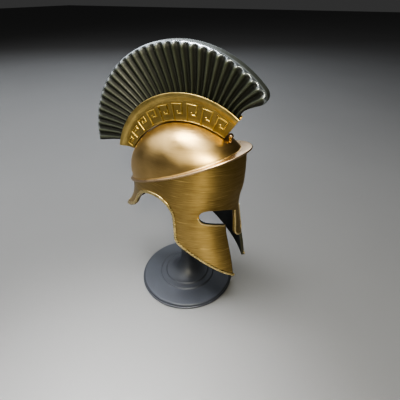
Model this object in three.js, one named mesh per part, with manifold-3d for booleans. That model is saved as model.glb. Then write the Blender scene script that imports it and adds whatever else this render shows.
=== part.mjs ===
/**
 * Greek bronze helmet on a display stand, a table-top ornament.
 *
 * A cast bronze-coloured shell (dome, brow rim, mask with nose guard and cheek guards, neck guard)
 * carries a curved crest holder with a raised Greek key, and the holder carries a ribbed crest.
 * A round base and a plain post hold the helmet up from inside the dome.
 *
 * Millimetres, +Z up. The origin is the middle of the base's underside. The face looks along -Y,
 * X runs from side to side and the plane X = 0 is the plane of symmetry.
 */
import * as THREE from 'three';
import { mergeVertices } from 'three/addons/utils/BufferGeometryUtils.js';
import Module from 'manifold-3d';

const wasm = await Module();
wasm.setup();

// ---------------------------------------------------------------- driving dimensions

const GAP = 0.3; // clearance between separate pieces

/** Plan outline of the brow rim: half ellipses, slightly pointed, that meet at y = middle. */
const RIM = { side: 24.6, middle: -6, front: -40.2, back: 37.8, frontPower: 1.75, backPower: 1.8 };
const RIM_THICKNESS = 1.3;

/** Height of the rim's underside over y: it rises to the front and dips a little to the back. */
const rimHeight = (y) => 93.57 - 0.4263 * y - 0.00085 * y * y;

/** Plan outline of the dome where it meets the rim, and how far its crown stands above that. */
const DOME = { side: 22.5, middle: -5, front: -34.4, back: 35.0, frontPower: 1.85, backPower: 1.85 };
const CROWN_HEIGHT = 26.3;
const BROW_SLOPE = 0.6; // how much the dome's front leans back, against an upright ellipse

/** Outer wall: half width, foremost y, rearmost y and fullness of the front at each height. */
const WALL_SECTIONS = [
  { z: 112, side: 24.0, front: -36.9, back: 35.2, frontPower: 1.75 },
  { z: 96, side: 24.0, front: -37.2, back: 35.2, frontPower: 1.75 },
  { z: 88, side: 24.0, front: -36.8, back: 35.2, frontPower: 1.78 },
  { z: 80, side: 24.0, front: -35.3, back: 35.2, frontPower: 1.82 },
  { z: 72, side: 23.9, front: -34.9, back: 35.9, frontPower: 1.88 },
  { z: 64, side: 23.7, front: -35.9, back: 38.6, frontPower: 1.95 },
  { z: 58, side: 23.5, front: -36.8, back: 42.0, frontPower: 2.0 },
  { z: 53, side: 23.4, front: -37.6, back: 45.8, frontPower: 2.1 },
  { z: 38, side: 23.2, front: -41.0, back: 50.0, frontPower: 2.15 },
  { z: 16, side: 22.8, front: -44.7, back: 50.0, frontPower: 2.15 },
];
const WALL_MIDDLE = -5;
const WALL_BACK_POWER = 1.85;
const WALL_THICKNESS = 2.0;
const NOSE_RIDGE = { height: 0.5, spread: 3.0 }; // soft ridge down the middle of the face
const BORDER = { width: 2.0, height: 0.45 }; // raised border along the wall's lower edge

/** Front view: nose guard, eye slots and the gap between the cheek guards, as half widths. */
const NOSE = { half: 3.6, shoulderHalf: 5.2, shoulder: 57.5, tip: 52.5 };
const SLOT = { innerTop: 71.6, outerTop: 76.4, outerX: 17.6, endX: 20.5, endZ: 72.4 };
const SLOT_FLOOR = { outerX: 18.2, outerZ: 67.6, innerX: 12.2, innerZ: 65.4 };
const CHEEK_GAP = { top: 10.9, topZ: 64.2, bottom: 11.0, bottomZ: 20 };

/** Side view: neck guard, ear arch and cheek guard, from back to front, as (y, z). */
const GUARD_END = [46.0, 53.6];
const GUARD_WAIST = [27.5, 67.0];
const ARCH_TOP = [8.0, 80.9];
const ARCH_FOOT = [-4.1, 68.5];
const CHEEK_HEEL = [-4.1, 56.0];
const CHEEK_BEND = [-10.5, 46.9];
const CHEEK_TIP = [-38.9, 25.8];

/** Crest holder: a band between two arcs in the middle plane, angles from +Y towards +Z. */
const HOLDER_INNER = { y: -3.5, z: 76.2, radius: 42.2, from: 30.3, to: 120.0 };
const HOLDER_OUTER = { y: -3.7, z: 86.1, radius: 49.0, from: 14.2, to: 127.0 };
const HOLDER_HALF = { field: 2.1, border: 2.5, cove: 2.2, bead: 3.1 };
const HOLDER_CHANNEL = { half: 2.4, depth: 1.3 }; // groove along the top that holds the crest
const HOLDER_MOULDING = 5.0; // width of the plain moulding along the outer arc
const HOLDER_BORDER = 1.9; // width of the plain border along the inner arc, partly under the dome

/** Greek key: nine units, each a long bar, a top bar and a short bar that hooks back. */
const KEY = { units: 9, first: 30.9, pitch: 9.95, reach: 6.1, bar: 0.95, relief: 0.55, sunk: 0.3 };
const KEY_HOOK = { bottom: 47.2, back: 3.1, tick: 49.2 };

/** Crest: a ribbed fan on the holder's outer arc. */
const CREST = { y: -0.8, z: 99.4, radius: 59.8, from: -0.4, to: 141.4, ribs: 30 };
const CREST_FOOT = { from: 17.8, to: 126.6, lean: 1.3, sunk: 1.0 }; // in the holder's groove
const CREST_HALF = { foot: 2.1, crown: 4.8, rounding: 3.0, rib: 0.8 };
const CREST_CORNER = { turn: 5.0, drop: 4.0 }; // how the crown falls away at the front end
const CREST_BOW = { ribs: -0.5, front: 3.4 }; // how far ribs and front end bend from straight

const STUD = { y: -28.3, z: 115.0, radius: 1.5, neck: 1.0, foot: 109 }; // in front of the holder

/** Stand: profile of the base as (radius, z), and the post inside the helmet. */
const BASE_RADIUS = 33.0;
const COLUMN = { radius: 3.7, top: 24 }; // flared neck of the base, bored for the post
const POST = { radius: 2.6, bottom: 9, top: 115.8 };

// ---------------------------------------------------------------- materials

const bronze = new THREE.MeshStandardMaterial({ color: 0xa67c3e, roughness: 0.38, metalness: 0.9 });
const holderGold = new THREE.MeshStandardMaterial({ color: 0xb98a35, roughness: 0.42, metalness: 0.9 });
const crestBlack = new THREE.MeshStandardMaterial({ color: 0x23251f, roughness: 0.42, metalness: 0.1 });
const standBlack = new THREE.MeshStandardMaterial({ color: 0x24262b, roughness: 0.5, metalness: 0.0 });

// ---------------------------------------------------------------- geometry helpers

const signedPower = (value, power) => Math.sign(value) * Math.abs(value) ** power;

/** Point of a plan outline at turn t: 0 is the front, pi the back. */
function planPoint(outline, t) {
  const toFront = Math.cos(t) > 0;
  const power = 2 / (toFront ? outline.frontPower : outline.backPower);
  const reach = toFront ? outline.middle - outline.front : outline.back - outline.middle;
  return {
    x: outline.side * signedPower(Math.sin(t), power),
    y: outline.middle - reach * signedPower(Math.cos(t), power),
  };
}

/** The same outline, smaller by the given amount all round. */
function shrink(outline, by) {
  return { ...outline, side: outline.side - by, front: outline.front + by, back: outline.back - by };
}

/** One ring of points, made by calling point(t) all the way round. */
function ring(count, point) {
  return Array.from({ length: count }, (_, i) => point((i / count) * 2 * Math.PI));
}

function middleOf(points) {
  const sum = points.reduce((total, p) => total.add(p), new THREE.Vector3());
  return sum.divideScalar(points.length);
}

/** Closes a stack of equal rings into one body, with a fan of triangles over each end. */
function loft(rings) {
  const count = rings[0].length;
  const points = [...rings.flat(), middleOf(rings[0]), middleOf(rings.at(-1))];
  const bottom = rings.length * count;
  const index = [];
  for (let i = 0; i < count; i++) {
    const next = (i + 1) % count;
    for (let k = 0; k + 1 < rings.length; k++) {
      const [a, b] = [k * count, (k + 1) * count];
      index.push(a + i, a + next, b + next, a + i, b + next, b + i);
    }
    const last = (rings.length - 1) * count;
    index.push(bottom, next, i, bottom + 1, last + i, last + next);
  }
  const geometry = new THREE.BufferGeometry().setFromPoints(points);
  geometry.setIndex(index);
  return facingOut(geometry);
}

/** Turns every triangle round if the body is inside out. */
function facingOut(geometry) {
  const position = geometry.getAttribute('position');
  const index = geometry.getIndex().array;
  const corner = (i) => new THREE.Vector3().fromBufferAttribute(position, index[i]);
  let volume = 0;
  for (let i = 0; i < index.length; i += 3) {
    volume += corner(i).dot(corner(i + 1).cross(corner(i + 2)));
  }
  if (volume < 0) geometry.setIndex(Array.from(index).reverse());
  return geometry;
}

function solid(geometry) {
  geometry.deleteAttribute('normal');
  geometry.deleteAttribute('uv');
  const merged = mergeVertices(geometry, 1e-4);
  return new wasm.Manifold(
    new wasm.Mesh({
      numProp: 3,
      vertProperties: new Float32Array(merged.getAttribute('position').array),
      triVerts: new Uint32Array(merged.getIndex().array),
    }),
  );
}

function fromSolid(body) {
  const mesh = body.getMesh();
  const geometry = new THREE.BufferGeometry();
  geometry.setAttribute('position', new THREE.BufferAttribute(mesh.vertProperties, 3));
  geometry.setIndex(new THREE.BufferAttribute(mesh.triVerts, 1));
  return geometry;
}

/** Extrudes a shape drawn as (y, z) from side to side. */
function acrossX(shape, halfWidth) {
  const geometry = new THREE.ExtrudeGeometry(shape, { depth: 2 * halfWidth, bevelEnabled: false });
  const turn = new THREE.Matrix4().makeBasis(
    new THREE.Vector3(0, 1, 0),
    new THREE.Vector3(0, 0, 1),
    new THREE.Vector3(1, 0, 0),
  );
  return geometry.translate(0, 0, -halfWidth).applyMatrix4(turn);
}

/** Extrudes a shape drawn as (x, z) from y = back to the front. */
function towardsFront(shape, back, depth) {
  const geometry = new THREE.ExtrudeGeometry(shape, { depth, bevelEnabled: false });
  return geometry.rotateX(Math.PI / 2).translate(0, back, 0);
}

const onArc = (arc, degrees, radius = arc.radius) => {
  const angle = THREE.MathUtils.degToRad(degrees);
  return new THREE.Vector2(arc.y + radius * Math.cos(angle), arc.z + radius * Math.sin(angle));
};

// ---------------------------------------------------------------- helmet shell

/** Size of the wall at height z, between the rows of WALL_SECTIONS. */
function wallOutline(z, inset) {
  const rows = WALL_SECTIONS;
  const k = Math.max(1, rows.findIndex((row) => row.z <= z));
  const [above, below] = [rows[k - 1], rows[k]];
  const part = (above.z - z) / (above.z - below.z);
  const mix = (name) => THREE.MathUtils.lerp(above[name], below[name], part);
  const outline = { side: mix('side'), front: mix('front'), back: mix('back'), middle: WALL_MIDDLE };
  const powers = { frontPower: mix('frontPower'), backPower: WALL_BACK_POWER };
  return shrink({ ...outline, ...powers }, inset);
}

/** Point of the wall at turn t and height z; only the outside has the nose ridge. */
function wallPoint(t, z, inset) {
  const { x, y } = planPoint(wallOutline(z, inset), t);
  const ridge = Math.cos(t) > 0 ? NOSE_RIDGE.height * Math.exp(-((x / NOSE_RIDGE.spread) ** 2)) : 0;
  return new THREE.Vector3(x, inset > 0 ? y : y - ridge, z);
}

/** The space inside a wall: rings that climb from a level foot to the slanting rim. */
function wallBody(count, levels, inset, foot, lift) {
  const rings = levels.map((level) => ring(count, (t) => {
    const underRim = wallPoint(t, rimHeight(planPoint(RIM, t).y), inset);
    const top = rimHeight(underRim.y) + lift;
    return wallPoint(t, THREE.MathUtils.lerp(foot, top, level), inset);
  }));
  return solid(loft(rings));
}

/** Half ellipsoid over the dome's outline, whose crown stands square to the slanting rim. */
function domeBody(count, steps, inset, drop) {
  const outline = shrink(DOME, inset);
  const rise = rimHeight(DOME.front) - rimHeight(DOME.back);
  const run = DOME.back - DOME.front;
  const up = new THREE.Vector3(0, rise, run).normalize();
  const middle = new THREE.Vector3(0, (DOME.front + DOME.back) / 2, 0);
  middle.z = (rimHeight(DOME.front) + rimHeight(DOME.back)) / 2;
  const foot = ring(count, (t) => {
    const { x, y } = planPoint(outline, t);
    return new THREE.Vector3(x, y, rimHeight(y));
  });
  const rings = [foot.map((p) => p.clone().addScaledVector(up, -drop))];
  for (let k = 0; k < steps; k++) {
    const angle = (k / steps) * (Math.PI / 2) * 0.985;
    rings.push(foot.map((p, i) => {
      const forward = Math.max(0, Math.cos((i / count) * 2 * Math.PI));
      const lean = 1 + BROW_SLOPE * forward ** 1.5;
      const height = (CROWN_HEIGHT - inset) * Math.sin(angle) ** lean;
      return p.clone().sub(middle).multiplyScalar(Math.cos(angle)).add(middle).addScaledVector(up, height);
    }));
  }
  const body = loft(rings);
  const crown = body.getAttribute('position').count - 1;
  const tip = middle.clone().addScaledVector(up, CROWN_HEIGHT - inset);
  body.getAttribute('position').setXYZ(crown, tip.x, tip.y, tip.z);
  return solid(body);
}

/** Brow rim: a thin slanting plate with a softened edge. */
function rimBody(count) {
  const edge = (inset, lift) => ring(count, (t) => {
    const { x, y } = planPoint(shrink(RIM, inset), t);
    return new THREE.Vector3(x, y, rimHeight(y) + lift);
  });
  const soft = RIM_THICKNESS / 4;
  return solid(loft([
    edge(6, 0), edge(soft, 0), edge(0, soft), edge(0, RIM_THICKNESS - soft),
    edge(soft, RIM_THICKNESS), edge(6, RIM_THICKNESS),
  ]));
}

/** Lower edge of the wall in side view, from the neck guard to the cheek guard's tip. */
function lowerEdge() {
  const path = new THREE.Path();
  path.moveTo(60, GUARD_END[1] - 1.6);
  path.lineTo(...GUARD_END);
  path.bezierCurveTo(40.5, 56.0, 31.5, 60.5, ...GUARD_WAIST);
  path.bezierCurveTo(23.6, 73.5, 18.5, ARCH_TOP[1], ...ARCH_TOP);
  path.bezierCurveTo(1.2, ARCH_TOP[1], ARCH_FOOT[0], 75.6, ...ARCH_FOOT);
  path.lineTo(...CHEEK_HEEL);
  path.bezierCurveTo(CHEEK_HEEL[0], 51.4, -6.6, 49.6, ...CHEEK_BEND);
  path.bezierCurveTo(-19.6, 40.9, -30.4, 32.8, ...CHEEK_TIP);
  path.lineTo(-60, 5);
  return path.getPoints(7);
}

/** Everything below the lower edge, moved up by the given amount along the edge's normal. */
function belowEdge(raise) {
  const edge = lowerEdge();
  const moved = edge.map((point, i) => {
    const before = edge[Math.max(0, i - 1)];
    const after = edge[Math.min(edge.length - 1, i + 1)];
    const along = after.clone().sub(before).normalize();
    return new THREE.Vector2(point.x + along.y * raise, point.y - along.x * raise);
  });
  const shape = new THREE.Shape([...moved, new THREE.Vector2(-60, -20), new THREE.Vector2(60, -20)]);
  return solid(acrossX(shape, 40));
}

/** Eye slots and the gap between the cheek guards, as one opening round the nose guard. */
function faceOpening() {
  const shape = new THREE.Shape();
  const half = (side) => ({
    nose: [side * NOSE.shoulderHalf, NOSE.shoulder],
    slotIn: [side * NOSE.half, SLOT.innerTop],
    slotOut: [side * SLOT.outerX, SLOT.outerTop],
    end: [side * SLOT.endX, SLOT.endZ],
    floorOut: [side * SLOT_FLOOR.outerX, SLOT_FLOOR.outerZ],
    floorIn: [side * SLOT_FLOOR.innerX, SLOT_FLOOR.innerZ],
    gapTop: [side * CHEEK_GAP.top, CHEEK_GAP.topZ],
    gapBottom: [side * CHEEK_GAP.bottom, CHEEK_GAP.bottomZ - 8],
  });
  const [right, left] = [half(1), half(-1)];
  shape.moveTo(0, NOSE.tip);
  shape.quadraticCurveTo(NOSE.shoulderHalf, NOSE.tip + 0.8, ...right.nose);
  shape.quadraticCurveTo(NOSE.half, 66, ...right.slotIn);
  shape.quadraticCurveTo(NOSE.half + 6.5, SLOT.innerTop + 3.6, ...right.slotOut);
  shape.quadraticCurveTo(SLOT.endX, SLOT.outerTop, ...right.end);
  shape.quadraticCurveTo(SLOT.endX, SLOT_FLOOR.outerZ + 0.8, ...right.floorOut);
  shape.lineTo(...right.floorIn);
  shape.quadraticCurveTo(CHEEK_GAP.top, SLOT_FLOOR.innerZ - 0.2, ...right.gapTop);
  shape.lineTo(...right.gapBottom);
  shape.lineTo(...left.gapBottom);
  shape.lineTo(...left.gapTop);
  shape.quadraticCurveTo(-CHEEK_GAP.top, SLOT_FLOOR.innerZ - 0.2, ...left.floorIn);
  shape.lineTo(...left.floorOut);
  shape.quadraticCurveTo(-SLOT.endX, SLOT_FLOOR.outerZ + 0.8, ...left.end);
  shape.quadraticCurveTo(-SLOT.endX, SLOT.outerTop, ...left.slotOut);
  shape.quadraticCurveTo(-NOSE.half - 6.5, SLOT.innerTop + 3.6, ...left.slotIn);
  shape.quadraticCurveTo(-NOSE.half, 66, ...left.nose);
  shape.quadraticCurveTo(-NOSE.shoulderHalf, NOSE.tip + 0.8, 0, NOSE.tip);
  const points = shape.getPoints(5);
  return solid(towardsFront(new THREE.Shape(points), -10, 50));
}

/** Round-headed stud on a short neck, cast on the dome in front of the holder. */
function stud() {
  const height = STUD.z - STUD.foot;
  const neck = new THREE.CylinderGeometry(STUD.neck, STUD.neck, height, 8).rotateX(Math.PI / 2);
  const head = new THREE.SphereGeometry(STUD.radius, 10, 8).translate(0, STUD.y, STUD.z);
  return solid(head).add(solid(neck.translate(0, STUD.y, STUD.foot + height / 2)));
}

function shellBody() {
  const levels = [0, 0.28, 0.45, 0.6, 0.72, 0.85, 1];
  const wall = wallBody(56, levels, 0, 18, 0.4);
  const thickerWall = wallBody(56, levels, -BORDER.height, 18, 0.4);
  const hollow = wallBody(40, [0, 0.3, 0.5, 0.65, 0.8, 1], WALL_THICKNESS, 17, 0.02);
  const border = thickerWall.intersect(belowEdge(BORDER.width));
  const outside = wall.add(border).add(rimBody(56)).add(domeBody(56, 7, 0, 0.6));
  return outside
    .subtract(belowEdge(0))
    .subtract(faceOpening())
    .add(stud())
    .subtract(hollow)
    .subtract(domeBody(40, 6, WALL_THICKNESS, 1.2));
}

// ---------------------------------------------------------------- crest holder

/** Point of the holder's band: along runs from back to front, out from the dome outwards. */
function holderPoint(along, out) {
  const inner = onArc(HOLDER_INNER, THREE.MathUtils.lerp(HOLDER_INNER.from, HOLDER_INNER.to, along));
  const outer = onArc(HOLDER_OUTER, THREE.MathUtils.lerp(HOLDER_OUTER.from, HOLDER_OUTER.to, along));
  const ray = outer.clone().sub(inner);
  return inner.addScaledVector(ray.normalize(), out);
}

function holderHeight(along) {
  const inner = holderPoint(along, 0);
  const outer = onArc(HOLDER_OUTER, THREE.MathUtils.lerp(HOLDER_OUTER.from, HOLDER_OUTER.to, along));
  return outer.distanceTo(inner);
}

/** Section of the holder: plain border, flat field, hollow cove and a rounded bead outside. */
function holderSection(along) {
  const height = holderHeight(along);
  const field = height - HOLDER_MOULDING;
  const half = [
    [HOLDER_HALF.border, 0],
    [HOLDER_HALF.border, HOLDER_BORDER],
    [HOLDER_HALF.field, HOLDER_BORDER + 0.2],
    [HOLDER_HALF.field, field],
    [HOLDER_HALF.cove, field + 0.9],
    [HOLDER_HALF.bead - 0.25, field + 1.8],
    [HOLDER_HALF.bead, height - 1.8],
    [HOLDER_HALF.bead - 0.25, height - 0.5],
    [HOLDER_HALF.bead - 0.7, height],
  ];
  const loop = [...half, ...half.map(([x, out]) => [-x, out]).reverse()];
  return loop.map(([x, out]) => {
    const { x: y, y: z } = holderPoint(along, out);
    return new THREE.Vector3(x, y, z);
  });
}

/** A raised bar of the key: a curved block between two angles and two radii, on one face. */
function keyBar(side, fromAngle, toAngle, innerRadius, outerRadius) {
  const low = side * (HOLDER_HALF.field - KEY.sunk);
  const high = side * (HOLDER_HALF.field + KEY.relief);
  const steps = toAngle - fromAngle > 4 ? 2 : 1;
  const rings = [];
  for (let k = 0; k <= steps; k++) {
    const angle = THREE.MathUtils.lerp(fromAngle, toAngle, k / steps);
    const inner = onArc(HOLDER_INNER, angle, innerRadius);
    const outer = onArc(HOLDER_INNER, angle, outerRadius);
    rings.push([
      new THREE.Vector3(low, inner.x, inner.y),
      new THREE.Vector3(high, inner.x, inner.y),
      new THREE.Vector3(high, outer.x, outer.y),
      new THREE.Vector3(low, outer.x, outer.y),
    ]);
  }
  return solid(loft(rings));
}

/** Radius, from the inner arc's centre, at which the key's field ends at this angle. */
function fieldTop(angle) {
  const outer = HOLDER_OUTER.radius - HOLDER_MOULDING;
  const toCentre = new THREE.Vector2(HOLDER_OUTER.y - HOLDER_INNER.y, HOLDER_OUTER.z - HOLDER_INNER.z);
  const ray = onArc({ y: 0, z: 0 }, angle, 1);
  const along = ray.dot(toCentre);
  return along + Math.sqrt(along * along - toCentre.lengthSq() + outer * outer);
}

/** One unit of the key on one face: long bar, top bar, short bar, hook and tick. */
function keyUnit(side, start) {
  const root = HOLDER_INNER.radius + HOLDER_BORDER - 0.3;
  const wide = THREE.MathUtils.radToDeg(KEY.bar / 48);
  const end = start + KEY.reach;
  const lowest = Math.min(fieldTop(start), fieldTop(end));
  const hook = Math.min(KEY_HOOK.bottom, lowest - 3);
  const tick = start + KEY_HOOK.back;
  return [
    keyBar(side, start - wide / 2, start + wide / 2, root, fieldTop(start) - 0.3),
    keyBar(side, start - wide / 2, end + wide / 2, lowest - 0.3 - KEY.bar, lowest - 0.3),
    keyBar(side, end - wide / 2, end + wide / 2, hook, lowest - 0.3),
    keyBar(side, tick - wide / 2, end + wide / 2, hook, hook + KEY.bar),
    keyBar(side, tick - wide / 2, tick + wide / 2, hook, Math.min(KEY_HOOK.tick, lowest - 1.9)),
  ];
}

/** The groove along the holder's outer arc. */
function holderChannel(stations) {
  const { half, depth } = HOLDER_CHANNEL;
  const corners = [[half, -depth], [half, 2], [-half, 2], [-half, -depth]];
  return loft(Array.from({ length: stations + 1 }, (_, k) => {
    const along = THREE.MathUtils.lerp(-0.05, 1.05, k / stations);
    const height = holderHeight(along);
    return corners.map(([x, out]) => {
      const { x: y, y: z } = holderPoint(along, height + out);
      return new THREE.Vector3(x, y, z);
    });
  }));
}

function holderBody() {
  const stations = 22;
  const sections = Array.from({ length: stations + 1 }, (_, k) => holderSection(k / stations));
  const bars = [];
  for (let k = 0; k < KEY.units; k++) {
    for (const side of [-1, 1]) bars.push(...keyUnit(side, KEY.first + k * KEY.pitch));
  }
  const band = bars.reduce((body, bar) => body.add(bar), solid(loft(sections)));
  return band.subtract(solid(holderChannel(stations))).subtract(domeBody(56, 7, -GAP, 0.6));
}

// ---------------------------------------------------------------- crest

/** Foot and crown of the ray at a share of the way from back to front, in side view. */
function crestRay(along) {
  const { from, to, lean, sunk } = CREST_FOOT;
  const angle = THREE.MathUtils.lerp(from, to, along) + 4 * lean * along * (1 - along);
  const turn = THREE.MathUtils.lerp(CREST.from, CREST.to, along);
  const past = Math.max(0, (turn - (CREST.to - CREST_CORNER.turn)) / CREST_CORNER.turn);
  const drop = CREST_CORNER.drop * (1 - Math.sqrt(1 - 0.98 * past ** 2));
  return [onArc(HOLDER_OUTER, angle, HOLDER_OUTER.radius - sunk),
    onArc(CREST, turn, CREST.radius - drop)];
}

/** Section of the crest along one ray; ridge is 1 on a rib and 0 in the groove beside it. */
function crestSection(along, ridge) {
  const [foot, crown] = crestRay(along);
  const across = new THREE.Vector2(crown.y - foot.y, foot.x - crown.x).normalize();
  const bow = CREST_BOW.ribs + CREST_BOW.front * along ** 10;
  const groove = CREST_HALF.rib * (1 - ridge);
  const widen = (up) => THREE.MathUtils.lerp(CREST_HALF.foot, CREST_HALF.crown, up);
  const rows = [
    [0, CREST_HALF.foot],
    [0.06, CREST_HALF.foot],
    [0.3, widen(0.3) - 0.8 * groove],
    [0.6, widen(0.68) - groove],
    [0.87, CREST_HALF.crown - groove],
    [0.955, CREST_HALF.crown - 0.25 * CREST_HALF.rounding - 0.4 * groove],
    [1.0, CREST_HALF.crown - CREST_HALF.rounding],
  ];
  const loop = [...rows, ...rows.map(([up, x]) => [up, -x]).reverse()];
  return loop.map(([up, x]) => {
    const lift = 2.9 * up ** 0.7 * (1 - up) ** 1.4;
    const point = foot.clone().lerp(crown, up).addScaledVector(across, bow * lift);
    return new THREE.Vector3(x, point.x, point.y);
  });
}

function crestBody() {
  const sections = [];
  for (let k = 0; k <= 2 * CREST.ribs; k++) {
    sections.push(crestSection(k / (2 * CREST.ribs), k % 2));
  }
  return loft(sections);
}

// ---------------------------------------------------------------- stand

/** Round base: lipped disc, two low steps and a flared foot with a socket for the post. */
function standBase() {
  const socket = POST.radius + GAP;
  const profile = [
    [0, 0], [BASE_RADIUS, 0], [BASE_RADIUS, 1.1], [BASE_RADIUS - 0.7, 1.4], [BASE_RADIUS - 0.7, 2.6],
    [BASE_RADIUS - 1.4, 3.3], [19.5, 4.0], [19.0, 4.7], [15.5, 5.0], [15.0, 5.8], [11.5, 6.4],
    [8.4, 8.0], [6.2, 10.6], [4.8, 14.0], [4.1, 18], [COLUMN.radius, COLUMN.top - 0.4],
    [COLUMN.radius - 0.4, COLUMN.top], [socket, COLUMN.top], [socket, POST.bottom - GAP],
    [0, POST.bottom - GAP],
  ];
  const outline = profile.map(([radius, z]) => new THREE.Vector2(radius, z));
  return new THREE.LatheGeometry(outline, 32).rotateX(Math.PI / 2);
}

/** Plain post with a rounded top that carries the dome. */
function supportPost() {
  const { radius, bottom, top } = POST;
  const outline = [
    [0, bottom], [radius, bottom], [radius, top - radius], [radius * 0.87, top - radius * 0.5],
    [radius * 0.5, top - radius * 0.13], [0, top],
  ];
  const points = outline.map(([r, z]) => new THREE.Vector2(r, z));
  return new THREE.LatheGeometry(points, 16).rotateX(Math.PI / 2);
}

// ---------------------------------------------------------------- assembly

const helmet = new THREE.Group();

function addPiece(name, geometry, material) {
  const mesh = new THREE.Mesh(geometry, material);
  mesh.name = name;
  helmet.add(mesh);
}

addPiece('helmet_shell', fromSolid(shellBody()), bronze);
addPiece('crest_holder', fromSolid(holderBody()), holderGold);
addPiece('crest', crestBody(), crestBlack);
addPiece('stand_base', standBase(), standBlack);
addPiece('support_post', supportPost(), standBlack);

export default helmet;
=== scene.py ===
"""Greek bronze helmet with a ribbed crest on a round black stand: the finished look.

Sizes are in millimetres, as the solids' are, and are made metres when a mesh is built.
The face looks along -Y, X runs from side to side, +Z is up, and the origin is the middle of the
base's underside. Every shape is symmetric about the plane X = 0.
"""
import math

import bmesh
import bpy
import numpy as np
from mathutils import Matrix, Vector


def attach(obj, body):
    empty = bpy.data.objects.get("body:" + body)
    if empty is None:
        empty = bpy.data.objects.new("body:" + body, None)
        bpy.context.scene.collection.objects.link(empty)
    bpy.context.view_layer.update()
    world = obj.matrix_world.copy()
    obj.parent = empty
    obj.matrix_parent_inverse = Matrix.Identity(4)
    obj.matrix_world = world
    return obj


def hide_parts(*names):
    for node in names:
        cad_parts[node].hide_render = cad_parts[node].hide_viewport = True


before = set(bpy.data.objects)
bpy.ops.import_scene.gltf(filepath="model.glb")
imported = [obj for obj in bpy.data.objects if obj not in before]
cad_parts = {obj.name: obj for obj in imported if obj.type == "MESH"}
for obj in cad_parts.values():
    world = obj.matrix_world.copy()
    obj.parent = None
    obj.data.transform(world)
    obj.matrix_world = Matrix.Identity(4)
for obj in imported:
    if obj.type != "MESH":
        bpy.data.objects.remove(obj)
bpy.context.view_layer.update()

MM = 0.001

# ---- sizes

RIM = {"side": 24.6, "middle": -6, "front": -40.2, "back": 37.8,
       "front_power": 1.75, "back_power": 1.8}
RIM_LINE = {"height": 93.57, "slope": 0.4263, "sag": 0.00085}  # its underside, over y
RIM_THICKNESS = 1.3
DOME = {"side": 22.5, "middle": -5, "front": -34.4, "back": 35.0,
        "front_power": 1.85, "back_power": 1.85}
CROWN_HEIGHT = 26.3
BROW_LEAN = {"extra": 0.6, "power": 1.5}  # how much slower the dome rises over the brow
DOME_COVE = 0.7
DOME_FOOT_SUNK = 0.6  # how far the dome's foot reaches into the rim
METAL = 2.0  # thickness of the casting
EDGE = 0.42  # rounding of the casting's cut edges

# height, half width, foremost y, rearmost y and fullness of the front of the mask's wall
WALL = np.array([
    [16, 22.8, -44.7, 50.0, 2.15],
    [38, 23.2, -41.0, 50.0, 2.15],
    [53, 23.4, -37.6, 45.8, 2.10],
    [58, 23.5, -36.8, 42.0, 2.00],
    [64, 23.7, -35.9, 38.6, 1.95],
    [72, 23.9, -34.9, 35.9, 1.88],
    [80, 24.0, -35.3, 35.2, 1.82],
    [88, 24.0, -36.8, 35.2, 1.78],
    [96, 24.0, -37.2, 35.2, 1.75],
    [112, 24.0, -36.9, 35.2, 1.75],
])
WALL_MIDDLE = -5
WALL_BACK_POWER = 1.85
NOSE_RIDGE = {"height": 0.5, "spread": 3.0}

HOLDER_INNER = {"y": -3.5, "z": 76.2, "radius": 42.2, "start": 30.3, "end": 120.0}
HOLDER_OUTER = {"y": -3.7, "z": 86.1, "radius": 49.0, "start": 14.2, "end": 127.0}
HOLDER_FIELD = 2.1  # half thickness at the flat field that carries the key
HOLDER_MOULDING = 5.0  # width of the cove and flange along the outer arc
HOLDER_BORDER = 1.9  # width of the plain border along the inner arc
HOLDER_GROOVE = {"half": 2.4, "depth": 1.3}  # holds the crest's foot

# angles in degrees; the rest are sizes and radii from the inner arc's centre
KEY = {"units": 9, "first": 30.9, "pitch": 9.95, "reach": 6.1, "bar": 0.95, "mean_radius": 48,
       "gap": 0.3, "relief": 0.55, "sunk": 0.25, "rounding": 0.44}
KEY_HOOK = {"bottom": 47.2, "least": 2.7, "back": 3.1, "tick": 49.2, "tick_gap": 1.6}

CREST = {"y": -0.8, "z": 99.4, "radius": 59.8, "start": -0.4, "end": 141.4, "ribs": 30}
CREST_FOOT = {"start": 17.8, "end": 126.6, "lean": 1.3, "sunk": 1.0}
CREST_HALF = {"foot": 2.1, "crown": 4.8, "rounding": 3.0, "rib": 1.5}
CREST_CORNER = {"turn": 5.0, "drop": 4.0}  # how the crown falls away at the front end
CREST_BOW = {"ribs": -0.5, "front": 3.4, "power": 10, "peak": 2.9}  # how ribs and front end bend
CREST_TIP = {"below": 0.3, "soft": 1.5}  # where the grooves run out under the crown
CREST_LENGTH = 26.0  # nominal length of a ray, in which its levels are given
CREST_LEVELS = np.concatenate([
    np.linspace(26, 8, 19), np.linspace(7.5, 2.5, 16), np.linspace(2.3, 0, 16)])
STUD = {"y": -28.3, "z": 115.0, "radius": 1.5}

BASE_RADIUS = 33.0
POST = {"radius": 2.6, "bottom": 9.0, "top": 115.8, "gap": 0.3}


# ---- numbers and meshes

def signed_power(value, power):
    """Raises the size of a number to a power and keeps its sign."""
    return np.sign(value) * np.abs(value) ** power


def rim_height(y):
    """Underside of the slanting rim: a straight slope with a slight sag, over y."""
    return RIM_LINE["height"] - RIM_LINE["slope"] * y - RIM_LINE["sag"] * y * y


def plan_point(outline, turn, shrink=0.0):
    """Half superellipses that meet at y = middle: x goes with sin(turn), y with -cos(turn)."""
    forward = np.cos(turn) > 0
    power = 2 / np.where(forward, outline["front_power"], outline["back_power"])
    middle = outline["middle"]
    reach = np.where(forward, middle - outline["front"], outline["back"] - middle)
    x = (outline["side"] - shrink) * signed_power(np.sin(turn), power)
    y = middle - (reach - shrink) * signed_power(np.cos(turn), power)
    return x, y


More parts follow.
